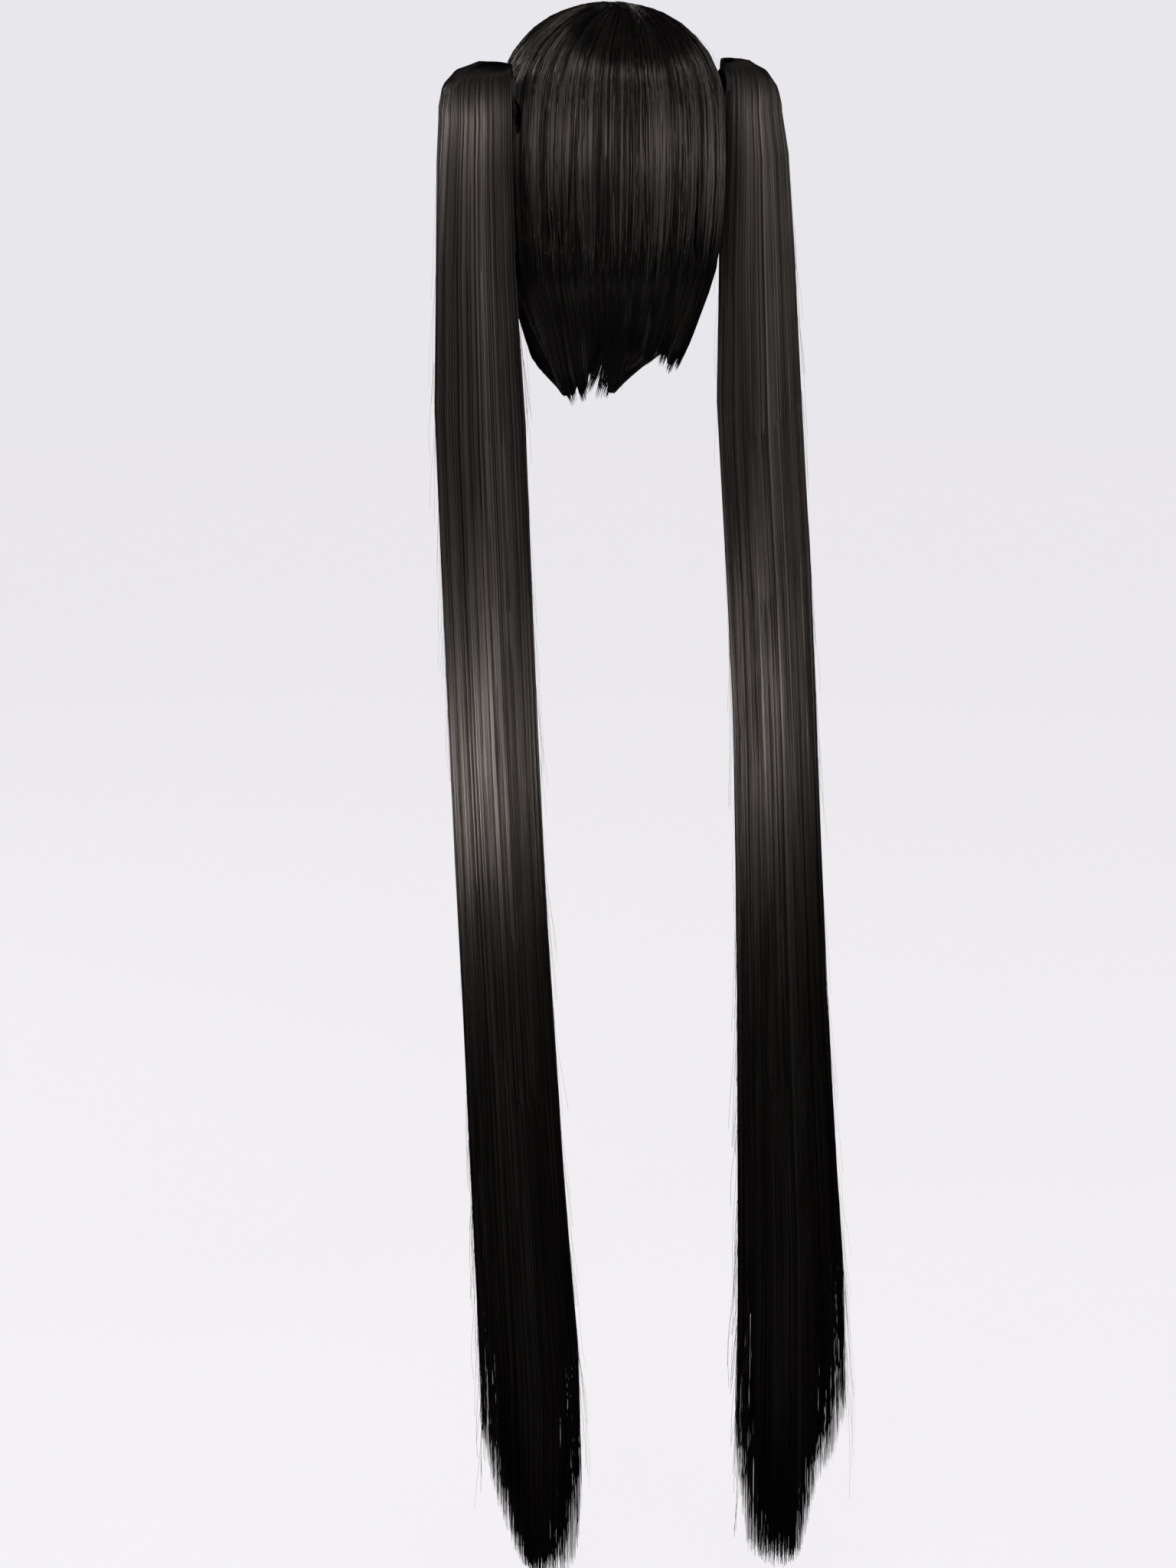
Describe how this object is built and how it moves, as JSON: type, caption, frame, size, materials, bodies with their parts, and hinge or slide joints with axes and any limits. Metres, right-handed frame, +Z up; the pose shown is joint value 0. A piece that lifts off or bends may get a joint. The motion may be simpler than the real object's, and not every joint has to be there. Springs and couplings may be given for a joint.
{
  "type": "pigtail wig",
  "caption": "Black straight-haired wig with a fringe, long side locks, a short layered nape and two very long tails clipped on high at the sides.",
  "frame": {"origin": "top of the cap's inside, where the wig sits on a head", "axes": "+Z up along the wearer's head, -Y the way the wearer looks, +X the wearer's left"},
  "size_m": [0.3469, 0.2146, 1.3213],
  "materials": {
    "hair": "straight synthetic fibre, black with a warm sheen",
    "cap": "thin elastic net with sewn wefts",
    "clip": "plain black moulded plastic"
  },
  "bodies": {
    "root": {"wig_cap": "cap", "crown_hair": "hair", "back_hair": "hair", "bangs": "hair", "side_lock_left": "hair", "side_lock_right": "hair", "tail_clip_left": "clip", "pigtail_left": "hair", "tail_clip_right": "clip", "pigtail_right": "hair"}
  },
  "joints": []
}
